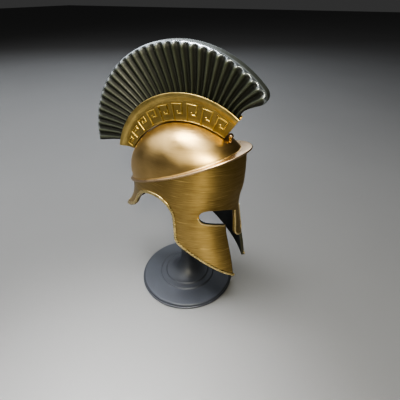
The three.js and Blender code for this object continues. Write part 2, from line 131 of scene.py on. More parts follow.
def bezier(count, *points):
    """Bezier curve of its end points and the control points between them, as count + 1 points."""
    s, last = np.linspace(0, 1, count + 1)[:, None], len(points) - 1
    return sum(math.comb(last, k) * s**k * (1 - s) ** (last - k) * np.asarray(point, float)
               for k, point in enumerate(points))


def line(start, end, count):
    """Straight run of count + 1 points."""
    return np.linspace(start, end, count + 1)


def join(*runs):
    """Runs end to end, each without the first point that it shares with the run before."""
    return np.concatenate([runs[0]] + [run[1:] for run in runs[1:]])


def grid_quads(rows, columns, around=False, closed=False):
    """Quads of a grid of points numbered row by row; around closes each row on itself, and
    closed joins the last row to the first."""
    row, column = np.meshgrid(np.arange(rows - (not closed)), np.arange(columns - (not around)),
                              indexing="ij")
    next_row, next_column = (row + 1) % rows, (column + 1) % columns
    return np.stack([row * columns + column, row * columns + next_column,
                     next_row * columns + next_column, next_row * columns + column],
                    -1).reshape(-1, 4)


class Patches:
    """Grids of points gathered into one mesh, then mirrored on X = 0."""

    def __init__(self):
        self.points, self.faces, self.materials, self.total = [], [], [], 0

    def add(self, grid, turned=False, material=0):
        """Adds a grid and its quads, turned round or not, with one material or one a face."""
        quads = grid_quads(*grid.shape[:2]) + self.total
        self.points.append(grid.reshape(-1, 3))
        self.faces.append(quads[:, ::-1] if turned else quads)
        self.materials.append(np.broadcast_to(material, len(quads)))
        self.total += len(self.points[-1])

    def mesh(self, name):
        """The grids and their mirror image as one mesh, with its materials."""
        points, faces = mirrored(np.concatenate(self.points), np.concatenate(self.faces))
        mesh = make_mesh(name, points, faces)
        set_face_material(mesh, np.tile(np.concatenate(self.materials), 2))
        return mesh


def make_mesh(name, points, faces):
    """Mesh from an array of points in millimetres and faces as an array or a list."""
    mesh = bpy.data.meshes.new(name)
    corners = faces.tolist() if isinstance(faces, np.ndarray) else faces
    mesh.from_pydata((np.asarray(points, float).reshape(-1, 3) * MM).tolist(), [], corners)
    return mesh


def weld(mesh, distance=2e-6, outward=True):
    """Joins points that coincide, drops faces without area and turns the faces outwards."""
    work = bmesh.new()
    work.from_mesh(mesh)
    bmesh.ops.remove_doubles(work, verts=work.verts, dist=distance)
    bmesh.ops.dissolve_degenerate(work, edges=work.edges, dist=1e-7)
    if outward:
        bmesh.ops.recalc_face_normals(work, faces=work.faces)
    work.to_mesh(mesh)
    work.free()
    return mesh


def add_piece(name, mesh, materials, node, smooth_angle):
    """Puts a mesh in the scene as a piece that stands for a node and rides on the body."""
    piece = bpy.data.objects.new(name, mesh)
    bpy.context.scene.collection.objects.link(piece)
    for material in materials:
        mesh.materials.append(material)
    mesh.polygons.foreach_set("use_smooth", np.ones(len(mesh.polygons), bool))
    mesh.set_sharp_from_angle(angle=math.radians(smooth_angle))
    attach(piece, "root")
    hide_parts(node)


def set_face_material(mesh, index_of_face):
    """Gives each face its material from an array with one number a face."""
    mesh.polygons.foreach_set("material_index", np.asarray(index_of_face, np.int32))


def set_point_value(mesh, name, values):
    """Stores one number a point, for the materials to read."""
    layer = mesh.attributes.new(name, "FLOAT", "POINT")
    layer.data.foreach_set("value", values.reshape(-1).astype(np.float32))


def mirrored(points, faces):
    """The same points and faces again on the other side of X = 0, with the faces turned round."""
    points = np.asarray(points).reshape(-1, 3)
    other = points * [-1, 1, 1]
    return np.concatenate([points, other]), np.concatenate([faces, faces[:, ::-1] + len(points)])


# ---- the mask's wall

def through_rows(z, column):
    """Cubic through the rows of WALL: each row's slope is that of the rows beside it."""
    heights, values = WALL[:, 0], WALL[:, column]
    slopes = np.gradient(values, heights)
    k = np.clip(np.searchsorted(heights, z) - 1, 0, len(heights) - 2)
    width = heights[k + 1] - heights[k]
    s = (z - heights[k]) / width
    return ((2 * s**3 - 3 * s**2 + 1) * values[k] + (s**3 - 2 * s**2 + s) * slopes[k] * width
            + (3 * s**2 - 2 * s**3) * values[k + 1] + (s**3 - s**2) * slopes[k + 1] * width)


def wall_outline(z):
    """Plan outline of the wall at each height."""
    return {"side": through_rows(z, 1), "middle": WALL_MIDDLE, "front": through_rows(z, 2),
            "back": through_rows(z, 3), "front_power": through_rows(z, 4),
            "back_power": WALL_BACK_POWER}


def wall_point(turn, z):
    """Outside of the wall: its plan outline at height z, with a soft ridge down the nose."""
    x, y = plan_point(wall_outline(z), turn)
    ridge = NOSE_RIDGE["height"] * np.exp(-((x / NOSE_RIDGE["spread"]) ** 2)) * (np.cos(turn) > 0)
    return np.stack([x, y - ridge, z + 0 * x], -1)


def wall_slopes(turn, z):
    """How the wall's point moves with turn and with z, and the unit normal that faces out."""
    small = 2e-3  # step of the finite difference
    with_turn = (wall_point(turn + small, z) - wall_point(turn - small, z)) / (2 * small)
    with_z = (wall_point(turn, z + small) - wall_point(turn, z - small)) / (2 * small)
    normal = np.cross(with_turn, with_z)
    return with_turn, with_z, normal / np.linalg.norm(normal, axis=-1, keepdims=True)


def from_side(path):
    """(turn, z) of points given in side view as (y, z), on the half with x above 0: cos(turn) is
    the share of the way from the middle to the outline's end, to half the outline's power."""
    y, z = path.T
    outline = wall_outline(z)
    forward = np.clip((WALL_MIDDLE - y) / (WALL_MIDDLE - outline["front"]), 0, 1)
    backward = np.clip((y - WALL_MIDDLE) / (outline["back"] - WALL_MIDDLE), 0, 1)
    front_turn = np.arccos(forward ** (outline["front_power"] / 2))
    back_turn = np.pi - np.arccos(backward ** (WALL_BACK_POWER / 2))
    return np.stack([np.where(y < WALL_MIDDLE, front_turn, back_turn), z], -1)


def from_front(path):
    """(turn, z) of points given in front view as (x, z), on the front of the wall: sin(turn) is
    the share of the half width, to half the outline's power."""
    x, z = path.T
    outline = wall_outline(z)
    share = np.clip(x / outline["side"], 0, 1)
    return np.stack([np.arcsin(share ** (outline["front_power"] / 2)), z], -1)


def is_seam(turn):
    """Whether a turn lies in the mirror plane, at the front or the back."""
    return min(turn, np.pi - turn) < 1e-6


def even(path, count):
    """The same run in (turn, z) with its count + 1 points spaced evenly along the wall."""
    points = wall_point(*path.T)
    steps = np.linalg.norm(np.diff(points, axis=0), axis=1)
    travelled = np.concatenate([[0], np.cumsum(steps)])
    wanted = np.linspace(0, travelled[-1], count + 1)
    return np.stack([np.interp(wanted, travelled, path[:, k]) for k in (0, 1)], -1)


def under_rim(turns, lift=0.5):
    """(turn, z) where the wall runs into the rim, a little above the rim's underside."""
    z = np.full_like(turns, 95.0)  # a first guess, mended by each round
    for _ in range(8):
        z = rim_height(wall_point(turns, z)[:, 1]) + lift
    return np.stack([turns, z], -1)


def rim_turn(y):
    """Turn at which the wall's top passes the given y."""
    turns = np.linspace(0, np.pi, 2001)
    at = under_rim(turns)
    return np.interp(y, wall_point(*at.T)[:, 1], turns)


# side view (y, z) of the lower edge's corners
GUARD_END = (46.0, 53.6)
GUARD_WAIST = (27.5, 67.0)
ARCH_TOP = (8.0, 80.9)
ARCH_FOOT = (-4.1, 68.5)
CHEEK_HEEL = (-4.1, 56.0)
CHEEK_BEND = (-10.5, 46.9)
CHEEK_TIP = (-38.9, 25.8)

# front view (x, z) of the openings' corners
CHEEK_TIP_FRONT = (11.0, 25.5)
GAP_TOP = (10.9, 64.2)
FLOOR_IN = (12.2, 65.4)
FLOOR_OUT = (18.2, 67.6)
SLOT_END = (20.5, 72.4)
SLOT_OUT = (17.6, 76.4)
SLOT_IN = (3.6, 71.6)
NOSE_SHOULDER = (5.2, 57.5)
NOSE_TIP = (0, 52.5)

OUTSIDE, INSIDE, CUT = 0, 1, 2  # the wall's three finishes
CUT_FACE = {"nose_tip": OUTSIDE, "nose": OUTSIDE, "cheek": CUT, "cheek_low": OUTSIDE,
            "heel": OUTSIDE, "foot": OUTSIDE, "arch": OUTSIDE, "guard": OUTSIDE}

NOSE_TURN = 0.24  # where the strip above the nose ends at the rim
RIM_SPLIT = (-14, -3, 29)  # y at which the regions over temple, cheek, ear and guard meet the rim

# number of quads along each run
COUNT = {"nose_tip": 10, "nose": 30, "brow": 40, "slot": 44, "slot_end_top": 8,
         "slot_end_floor": 8, "floor": 36, "cheek": 44, "cheek_low": 36, "heel": 24, "foot": 52,
         "arch": 56, "guard": 52}


def opening_runs():
    """Free edge round the face, from the nose's tip to the cheek's tip, as named runs."""
    top_bend = bezier(40, SLOT_OUT, (SLOT_END[0], SLOT_OUT[1]), SLOT_END)
    floor_bend = bezier(40, SLOT_END, (SLOT_END[0], FLOOR_OUT[1] + 0.8), FLOOR_OUT)
    corner = bezier(40, FLOOR_IN, (GAP_TOP[0], FLOOR_IN[1] - 0.2), GAP_TOP)
    brow = bezier(80, SLOT_IN, (SLOT_IN[0] + 6.5, SLOT_IN[1] + 3.6), SLOT_OUT)
    runs = {
        "nose_tip": bezier(60, NOSE_TIP, (NOSE_SHOULDER[0], NOSE_TIP[1] + 0.8), NOSE_SHOULDER),
        "nose": bezier(60, NOSE_SHOULDER, (SLOT_IN[0], 66), SLOT_IN),
        "slot": join(brow, top_bend[:21]),
        "slot_end_top": top_bend[20:],
        "slot_end_floor": floor_bend[:21],
        "floor": join(floor_bend[20:], line(FLOOR_OUT, FLOOR_IN, 30), corner[:21]),
        "cheek": join(corner[20:], line(GAP_TOP, CHEEK_TIP_FRONT, 80)),
    }
    return {name: even(from_front(path), COUNT[name]) for name, path in runs.items()}


def lower_runs():
    """Free edge from the cheek's tip round the ear arch to the neck guard's end."""
    cheek = bezier(120, CHEEK_TIP, (-30.4, 32.8), (-19.6, 40.9), CHEEK_BEND)
    heel = bezier(60, CHEEK_BEND, (-6.6, 49.6), (CHEEK_HEEL[0], 51.4), CHEEK_HEEL)
    arch = bezier(80, ARCH_FOOT, (ARCH_FOOT[0], 75.6), (1.2, ARCH_TOP[1]), ARCH_TOP)
    rear = bezier(120, ARCH_TOP, (18.5, ARCH_TOP[1]), (23.6, 73.5), GUARD_WAIST)
    guard = bezier(4000, GUARD_WAIST, (31.5, 60.5), (40.5, 56.0), GUARD_END)
    guard = guard[guard[:, 0] < through_rows(guard[:, 1], 3)]
    foot = join(line(CHEEK_HEEL, ARCH_FOOT, 40), arch[:41])
    runs = {"cheek_low": cheek, "heel": heel, "foot": foot, "arch": join(arch[40:], rear),
            "guard": guard}
    runs = {name: from_side(path) for name, path in runs.items()}
    runs["cheek_low"][0] = from_front(np.array([CHEEK_TIP_FRONT]))[0]
    runs["guard"][-1, 0] = np.pi
    return {name: even(path, COUNT[name]) for name, path in runs.items()}


def edge_frame(path):
    """At each point of a free edge: the step in (turn, z) and the unit vector in space that lead
    off the metal along the wall, square to the edge. The vector is the edge's direction crossed
    with the wall's normal, and the step is its share of the wall's two slopes."""
    turn, z = path.T
    with_turn, with_z, normal = wall_slopes(turn, z)
    along = np.gradient(wall_point(turn, z), axis=0)
    away = np.cross(along, normal)
    for end in (0, -1):
        if is_seam(turn[end]):
            away[end, 0] = 0
    away /= np.linalg.norm(away, axis=1, keepdims=True)
    a, b, c = ((with_turn**2).sum(1), (with_turn * with_z).sum(1), (with_z**2).sum(1))
    p, q = (with_turn * away).sum(1), (with_z * away).sum(1)
    step = np.stack([(c * p - b * q), (a * q - b * p)], -1) / (a * c - b * b)[:, None]
    return step, away


def smooth_fill(bottom, top, left, right):
    """Coons patch: blends four edges of a region into a grid of points inside it."""
    s = np.linspace(0, 1, len(bottom))[None, :, None]
    r = np.linspace(0, 1, len(left))[:, None, None]
    ruled = (1 - r) * bottom[None] + r * top[None] + (1 - s) * left[:, None] + s * right[:, None]
    corners = ((1 - r) * (1 - s) * bottom[0] + (1 - r) * s * bottom[-1]
               + r * (1 - s) * top[0] + r * s * top[-1])
    return ruled - corners


def wall_regions(runs):
    """Grids in (turn, z) that cover the half wall, from the edge's runs to the rim."""
    rim_turns = [0.0, NOSE_TURN, *(rim_turn(y) for y in RIM_SPLIT), np.pi]
    counts = [COUNT[name] for name in ("nose_tip", "slot", "heel", "arch", "guard")]
    rim = [under_rim(np.linspace(start, end, count + 1))
           for start, end, count in zip(rim_turns[:-1], rim_turns[1:], counts)]
    above_ear = COUNT["brow"] + COUNT["slot_end_top"]
    up = {
        "nose": line(runs["nose_tip"][0], rim[0][0], COUNT["nose"] + COUNT["brow"]),
        "brow": line(runs["nose"][-1], rim[1][0], COUNT["brow"]),
        "temple": line(runs["slot"][-1], rim[2][0], COUNT["brow"]),
        "cheek": line(runs["cheek_low"][-1], runs["floor"][0], COUNT["cheek"]),
        "ear": line(runs["arch"][0], rim[3][0], above_ear),
        "waist": line(runs["guard"][0], rim[4][0], above_ear),
        "rear": line(runs["guard"][-1], rim[4][-1], above_ear),
    }
    across = line(runs["slot_end_top"][-1], runs["arch"][0], COUNT["heel"])
    return [
        smooth_fill(runs["nose_tip"], rim[0], up["nose"], join(runs["nose"], up["brow"])),
        smooth_fill(runs["slot"], rim[1], up["brow"], up["temple"]),
        smooth_fill(runs["cheek_low"], runs["floor"][::-1], runs["cheek"][::-1], up["cheek"]),
        smooth_fill(runs["heel"], across, join(up["cheek"], runs["slot_end_floor"][::-1]),
                    runs["foot"]),
        smooth_fill(across, rim[2], join(runs["slot_end_top"][::-1], up["temple"]), up["ear"]),
        smooth_fill(runs["arch"], rim[3], up["ear"], up["waist"]),
        smooth_fill(runs["guard"], rim[4], up["waist"], up["rear"]),
    ], join(*rim)


def split_runs(loop, names, lengths):
    """Cuts a loop back into its named runs, each with both its end points."""
    runs, start = {}, 0
    for name, length in zip(names, lengths):
        runs[name] = loop[start:start + length + 1]
        start += length
    return runs


def face_wall():
    """The mask as a wall of even thickness: the outside, the inside set back along the normal,
    and between them a band with rounded corners round every free edge."""
    runs = {**opening_runs(), **lower_runs()}
    names = list(runs)
    lengths = [len(run) - 1 for run in runs.values()]
    loop = join(*runs.values())
    step, away = edge_frame(loop)
    inset = loop - EDGE * step
    inset[[0, -1], 0] = [0, np.pi]
    regions, rim = wall_regions(split_runs(inset, names, lengths))
    patches = Patches()
    for side in (OUTSIDE, INSIDE):
        for region in regions:
            turn, z = region[..., 0], region[..., 1]
            set_back = side * METAL * wall_slopes(turn, z)[2]
            patches.add(wall_point(turn, z) - set_back, turned=side == INSIDE, material=side)
    turn, z = inset.T
    normal = wall_slopes(turn, z)[2]
    normal[[0, -1], 0] = 0
    steps = 4
    bend = np.linspace(0, np.pi / 2, steps + 1)
    out = np.concatenate([EDGE * np.sin(bend), EDGE * np.sin(bend[::-1])])
    depth = np.concatenate([EDGE * (1 - np.cos(bend)), METAL - EDGE * (1 - np.cos(bend[::-1]))])
    band = (wall_point(turn, z)[None] + out[:, None, None] * away[None]
            - depth[:, None, None] * normal[None])
    cut = np.repeat([CUT_FACE.get(name, INSIDE) for name in names], lengths)
    shoulder = np.where(cut == CUT, CUT, OUTSIDE)
    outer_round = np.arange(len(out) - 1)[:, None] < steps
    patches.add(band, material=np.where(outer_round, shoulder, cut).reshape(-1))
    top, normal = wall_point(*rim.T), wall_slopes(*rim.T)[2]
    patches.add(np.stack([top, top - METAL * normal]))
    return weld(patches.mesh("mask"), 4e-6)


def raised_band(name, loop, profile, least_x=0.0):
    """Carries a profile of (distance back from the edge, height off the wall) along a free edge;
    ends in the mirror plane stay open and join their mirror image, the others are closed."""
    step = edge_frame(loop)[0]
    seams = [end for end in (0, -1) if is_seam(loop[end, 0])]
    rows = []
    for back, height in profile:
        at = loop - back * step
        at[seams, 0] = loop[seams, 0]
        normal = wall_slopes(*at.T)[2]
        normal[seams, 0] = 0
        normal /= np.linalg.norm(normal, axis=1, keepdims=True)
        rows.append(wall_point(*at.T) + height * normal)
    rows = np.array(rows)
    rows[:, 0, 0] = np.maximum(rows[:, 0, 0], least_x)
    count = len(loop)
    points, faces = mirrored(rows, grid_quads(len(profile), count, closed=True))
    faces, half = faces.tolist(), len(points) // 2
    for end in {0, -1} - set(seams):
        ring = [k * count + end % count for k in range(len(profile))]
        faces += [ring, [half + k for k in ring]]
    return weld(make_mesh(name, points, faces))


def edge_border():
    """Raised border: a flat-topped band with rounded shoulders, carried along the lower edge from
    the cheek's tip to the neck guard's end, and wrapped a little round the cut."""
    profile = [(1.95, -0.25), (1.93, 0.12), (1.84, 0.3), (1.66, 0.41), (1.4, 0.45), (0.55, 0.45),
               (0.3, 0.41), (0.08, 0.27), (-0.04, 0.06), (-0.05, -0.5), (0.3, -0.8), (1.6, -0.8)]
    loop = even(join(*lower_runs().values()), 420)
    return raised_band("border", loop, profile, CHEEK_TIP_FRONT[0])


def thin_bead(names):
    """Thin bead along the named runs of the face opening's edge."""
    bend = np.radians(np.linspace(-20, 215, 13))
    round_side = np.stack([0.34 + 0.58 * np.cos(bend), 0.46 * np.sin(bend)], -1)  # half an oval
    profile = round_side.tolist() + [[0.3, -0.5], [0.8, -0.5]]
    runs = opening_runs()
    return raised_band("bead", even(join(*(runs[name] for name in names)), 90), profile)


# ---- dome, rim and stud

def dome_frame():
    """Middle of the dome's foot and the direction of its crown, square to the slanting rim."""
    front, back = DOME["front"], DOME["back"]
    middle = np.array([0, (front + back) / 2, (rim_height(front) + rim_height(back)) / 2])
    up = np.array([0, rim_height(front) - rim_height(back), back - front])
    return middle, up / np.linalg.norm(up)


def brow_lean(turn):
    """Power that slows the dome's rise: 1 at the sides and back, larger over the brow."""
    return 1 + BROW_LEAN["extra"] * np.maximum(0, np.cos(turn)) ** BROW_LEAN["power"]


def dome_rows(turn, climb, inset):
    """Dome: its foot drawn in towards the middle with cos(climb) and raised along the crown's
    direction with sin(climb) to a power that is larger at the front, where the brow leans back."""
    middle, up = dome_frame()
    x, y = plan_point(DOME, turn, inset)
    foot = np.stack([x, y, rim_height(y)], -1)
    height = (CROWN_HEIGHT - inset) * np.sin(climb) ** brow_lean(turn)
    return middle + (foot - middle) * np.cos(climb)[..., None] + up * height[..., None]


def dome_mesh():
    """Closed shell of the dome: a small cove at the foot, the outside, and the inside."""
    count = 192
    around = np.linspace(0, 2 * np.pi, count, endpoint=False)
    start_height = RIM_THICKNESS + DOME_COVE
    start = np.arcsin((start_height / CROWN_HEIGHT) ** (1 / brow_lean(around)))
    part = np.linspace(0, 1, 56)[:, None]
    climb = start + (np.pi / 2 - start) * part
    outside = dome_rows(around, climb, 0.0)
    up = dome_frame()[1]
    x, y = plan_point(DOME, around, -1.0)
    x0, y0 = plan_point(DOME, around, 0.0)
    outward = np.stack([x - x0, y - y0, rim_height(y) - rim_height(y0)], -1)
    bend = np.linspace(np.pi / 2, 0, 7)[:-1, None, None]
    cove = outside[0] + DOME_COVE * ((1 - np.cos(bend)) * outward - np.sin(bend) * up)
    foot = cove[:1] - DOME_FOOT_SUNK * up
    inside_climb = np.linspace(np.pi / 2, -0.03, 30)[:, None] + 0 * around
    inside = dome_rows(around, np.maximum(inside_climb, 0), METAL)
    inside[-1] -= 0.5 * up  # its last ring drops into the rim, as the foot does
    rows = np.concatenate([foot, cove, outside, inside])
    mesh = make_mesh("dome", rows, grid_quads(len(rows), count, around=True, closed=True))
    inner = np.arange(len(rows)) >= len(foot) + len(cove) + len(outside) - 1
    set_face_material(mesh, np.repeat(inner, count))
    return weld(mesh, 4e-6)


def rim_mesh():
    """Brow rim: a flat plate with a rounded lip, carried round the rim's plan outline."""
    count = 256
    around = np.linspace(0, 2 * np.pi, count, endpoint=False)
    bend = np.linspace(-np.pi / 2, np.pi / 2, 9)
    soft = RIM_THICKNESS / 2
    lip = np.stack([soft * (1 - np.cos(bend)), soft + soft * np.sin(bend)], -1)
    rows = []
    for draw_in, lift in lip:
        x, y = plan_point(RIM, around, draw_in)
        rows.append(np.stack([x, y, rim_height(y) + lift], -1))
    x, y = plan_point(DOME, around, 1.0)
    inner = [np.stack([x, y, rim_height(y) + lift], -1) for lift in (RIM_THICKNESS, 0)]
    rows = np.array(rows + inner + rows[:1])
    return weld(make_mesh("rim", rows, grid_quads(len(rows), count, around=True)))


def lathe(name, profile, count=96, centre=(0, 0)):
    """Turns a profile of (radius, z) round the upright line through centre."""
    around = np.linspace(0, 2 * np.pi, count, endpoint=False)
    radius, z = np.asarray(profile, float).T
    points = np.stack([centre[0] + radius[:, None] * np.cos(around),
                       centre[1] + radius[:, None] * np.sin(around),
                       z[:, None] + 0 * around], -1)
    return weld(make_mesh(name, points, grid_quads(len(radius), count, around=True)))


def stud_mesh():
    """Round-headed stud: a ball that runs down into a short waisted neck."""
    bend = np.linspace(0, 0.8 * np.pi, 20)
    head = np.stack([STUD["radius"] * np.sin(bend), STUD["z"] + STUD["radius"] * np.cos(bend)], -1)
    neck = np.array([[0.92, 112.2], [1.0, 111.4], [1.3, 110.6], [1.3, 109.4], [0, 109.4]])
    return lathe("stud", np.concatenate([head, neck]), 40, (0, STUD["y"]))


# ---- crest holder

def on_arc(arc, degrees, radius):
    """(y, z) at an angle from +Y towards +Z round the arc's centre."""
    angle = np.radians(degrees)
    return np.stack([arc["y"] + radius * np.cos(angle), arc["z"] + radius * np.sin(angle)], -1)


def mix_angle(arc, along):
    """Angle at a share of the way along an arc."""
    return arc["start"] + (arc["end"] - arc["start"]) * along


def holder_rays(along):
    """Foot, unit direction and length of the holder's rays from the inner to the outer arc."""
    inner = on_arc(HOLDER_INNER, mix_angle(HOLDER_INNER, along), HOLDER_INNER["radius"])
    outer = on_arc(HOLDER_OUTER, mix_angle(HOLDER_OUTER, along), HOLDER_OUTER["radius"])
    length = np.linalg.norm(outer - inner, axis=-1)
    return inner, (outer - inner) / length[..., None], length


def clear_of_dome(inner, ray, gap=0.3):
    """How far out along each ray the dome's outside, in the middle plane, is left behind."""
    middle = dome_frame()[0][1:]
    climb = np.linspace(0, np.pi / 2, 200)
    back, front = (dome_rows(turn, climb, 0.0)[:, 1:] - middle for turn in (np.pi, 0.0))
    curve = np.concatenate([back, front[::-1]])
    bearing, reach = np.arctan2(curve[:, 1], curve[:, 0]), np.hypot(*curve.T)
    order = np.argsort(bearing)
    out = np.linspace(0, 8, 400)  # the distances that are tried
    points = inner[:, None] + ray[:, None] * out[None, :, None] - middle
    limit = np.interp(np.arctan2(points[..., 1], points[..., 0]), bearing[order], reach[order])
    outside = np.hypot(points[..., 0], points[..., 1]) > limit + gap
    return out[np.argmax(outside, axis=1)]


def holder_mesh():
    """Band between two arcs: a bordered flat field, a cove and a rounded flange, with a groove
    along the top; the section is carried from back to front."""
    along = np.linspace(0, 1, 161)
    inner, ray, length = holder_rays(along)
    foot = clear_of_dome(inner, ray)
    field = length - HOLDER_MOULDING
    low, edge = foot, np.maximum(foot + 0.5, HOLDER_BORDER)
    groove = HOLDER_GROOVE["half"]
    section = [  # half thickness, and how far out along the ray
        (0, low), (2.3, low), (2.5, low + 0.12), (2.58, low + 0.3), (2.58, edge - 0.3),
        (2.5, edge - 0.1), (2.3, edge), (HOLDER_FIELD, edge + 0.08), (HOLDER_FIELD, field - 0.1),
        (HOLDER_FIELD + 0.02, field), (2.32, field + 0.12), (2.36, field + 0.4), (2.4, field + 0.8),
        (2.52, field + 1.3), (2.72, field + 1.8), (2.92, field + 2.3), (3.05, field + 2.8),
        (3.1, field + 3.3), (3.1, length - 0.7), (3.06, length - 0.4), (2.94, length - 0.16),
        (2.72, length - 0.03), (2.5, length), (groove + 0.02, length - 0.04),
        (groove, length - 0.2), (groove, length - HOLDER_GROOVE["depth"]),
        (0, length - HOLDER_GROOVE["depth"]),
    ]
    half = np.array([np.broadcast_to(x, along.shape) for x, _ in section])
    out = np.array([o for _, o in section])
    yz = inner[None] + ray[None] * out[..., None]
    right = np.concatenate([half[..., None], yz], -1)
    left = right[-2:0:-1] * [-1, 1, 1]
    rows = np.concatenate([right, left])
    count = len(along)
    faces = grid_quads(len(rows), count, closed=True).tolist()
    ring = [k * count for k in range(len(rows))]
    ends = [ring, [k + count - 1 for k in ring]]
    mesh = make_mesh("holder", rows, faces + ends)
    set_point_value(mesh, "above_field", np.concatenate([out, out[-2:0:-1]]) - field)
    return weld(mesh, 1e-7)


def field_top(degrees):
    """Radius from the inner arc's centre at which the key's field ends at an angle."""
    outer = HOLDER_OUTER["radius"] - HOLDER_MOULDING
    shift = np.array([HOLDER_OUTER["y"] - HOLDER_INNER["y"], HOLDER_OUTER["z"] - HOLDER_INNER["z"]])
    angle = math.radians(degrees)
    along = math.cos(angle) * shift[0] + math.sin(angle) * shift[1]
    return along + math.sqrt(along * along - shift @ shift + outer * outer)


def key_bars():
    """(start angle, end angle, inner radius, outer radius) of every bar of the Greek key."""
    root = HOLDER_INNER["radius"] + HOLDER_BORDER - KEY["gap"]
    wide = math.degrees(KEY["bar"] / KEY["mean_radius"]) / 2
    bars = []
    for unit in range(KEY["units"]):
        start = KEY["first"] + unit * KEY["pitch"]
        end = start + KEY["reach"]
        top = min(field_top(start), field_top(end)) - KEY["gap"]
        hook = min(KEY_HOOK["bottom"], top - KEY_HOOK["least"])
        tick = start + KEY_HOOK["back"]
        tick_top = min(KEY_HOOK["tick"], top - KEY_HOOK["tick_gap"])
        bars += [
            (start - wide, start + wide, root, field_top(start) - KEY["gap"]),
            (start - wide, end + wide, top - KEY["bar"], top),
            (end - wide, end + wide, hook, top),
            (tick - wide, end + wide, hook, hook + KEY["bar"]),
            (tick - wide, tick + wide, hook, tick_top),
        ]
    return bars


def bar_steps(length, middle=4):
    """Places along a bar, as shares of its length: close together where its ends are rounded."""
    end = min(KEY["rounding"] / length, 0.5) * np.array([0, 0.1, 0.28, 0.55, 0.8, 1.0])
    if end[-1] >= 0.49:  # the two roundings meet
        return np.concatenate([end, 1 - end[-2::-1]])
    inner = np.linspace(end[-1], 1 - end[-1], middle)[1:-1]
    return np.concatenate([end, inner, 1 - end[::-1]])


def key_mesh():
    """Raised bars: each a grid over angle and radius, rounded across like a bead, and closed by
    the same grid laid flat a little under the holder's face."""
    patches = Patches()
    for first, last, low, high in key_bars():
        span = math.radians(last - first) * (low + high) / 2
        angles = first + (last - first) * bar_steps(span)
        radii = low + (high - low) * bar_steps(high - low)
        turn, radius = np.meshgrid(angles, radii, indexing="ij")
        inward = np.minimum(
            np.minimum(turn - first, last - turn) * radius * math.pi / 180,
            np.minimum(radius - low, high - radius))
        near = np.clip(inward / KEY["rounding"], 0, 1)
        rise = np.sqrt(1 - (1 - near) ** 2)
        floor = HOLDER_FIELD - KEY["sunk"]
        top = floor + (KEY["relief"] + KEY["sunk"]) * rise
        yz = on_arc(HOLDER_INNER, turn, radius)
        for x, turned in ((top, False), (np.full_like(top, floor), True)):
            patches.add(np.concatenate([x[..., None], yz], -1), turned)
    return weld(patches.mesh("greek_key"), 1e-7, outward=False)


# ---- crest

def crest_rays(along):
    """Foot and crown of each ray, in side view; the crown falls away at the front end."""
    foot_angle = mix_angle(CREST_FOOT, along) + 4 * CREST_FOOT["lean"] * along * (1 - along)
    foot = on_arc(HOLDER_OUTER, foot_angle, HOLDER_OUTER["radius"] - CREST_FOOT["sunk"])
    turn = mix_angle(CREST, along)
    past = np.clip((turn - CREST["end"]) / CREST_CORNER["turn"] + 1, 0, 1)
    drop = CREST_CORNER["drop"] * (1 - np.sqrt(1 - 0.98 * past**2))
    return foot, on_arc(CREST, turn, CREST["radius"] - drop)


def crest_mesh():
    """Fan on curved rays: half thickness grows from foot to crown, less a groove between each
    two ribs; each rib ends in a rounded tip, and the crown's smooth edge curves over them."""
    ribs, samples = CREST["ribs"], 16
    along = np.linspace(0, 1, ribs * samples + 1)
    foot, crown = crest_rays(along)
    rays = crown - foot
    length = np.linalg.norm(rays, axis=1)
    across = np.stack([rays[:, 1], -rays[:, 0]], -1) / length[:, None]
    wave = (0.5 - 0.5 * np.cos(2 * np.pi * ribs * along)) ** 1.1  # 1 on a rib, 0 between two
    up = np.clip(1 - CREST_LEVELS[:, None] / CREST_LENGTH, 0, 1) + 0 * along
    depth = (1 - up) * length
    widen = np.clip((up - 0.06) / 0.81, 0, 1)  # from just over the foot to under the crown
    half = CREST_HALF["foot"] + (CREST_HALF["crown"] - CREST_HALF["foot"]) * widen
    over = np.clip(1 - depth / CREST_HALF["rounding"], 0, 1)
    half = half - CREST_HALF["rounding"] * (1 - np.sqrt(1 - over**2))
    fade = np.clip((depth - CREST_TIP["below"]) / CREST_TIP["soft"], 0, 1)
    groove = fade * fade * (3 - 2 * fade) * (1 - wave)
    half = half - groove * CREST_HALF["rib"]
    bow = CREST_BOW["ribs"] + CREST_BOW["front"] * along ** CREST_BOW["power"]
    lift = CREST_BOW["peak"] * up**0.7 * (1 - up) ** 1.4
    yz = foot + rays * up[..., None] + (lift * bow)[..., None] * across
    right = np.concatenate([half[..., None], yz], -1)
    rows = np.concatenate([right, right[::-1] * [-1, 1, 1]])
    count, size = len(along), len(rows)
    faces = grid_quads(size, count, closed=True).tolist()
    for column in (0, count - 1):
        faces += [[k * count + column, (k + 1) * count + column,
                   (size - 2 - k) * count + column, (size - 1 - k) * count + column]
                  for k in range(size // 2 - 1)]
    mesh = make_mesh("crest", rows, faces)
    # the sheen keeps to the ribs just under the crown's edge; painted shade darkens the grooves,
    # and faintly the top half millimetre of the crown
    shoulder = np.clip(1.7 - depth / 1.2, 0, 1) * np.clip(0.06 + depth / 0.35, 0, 1) * (1 - groove)
    painted_shade = np.maximum(groove, 0.45 * np.clip(1 - depth / 0.5, 0, 1))
    for name, layer in (("groove", painted_shade), ("crown", shoulder)):
        set_point_value(mesh, name, np.concatenate([layer, layer[::-1]]))
    return weld(mesh, 1e-7)


# ---- stand

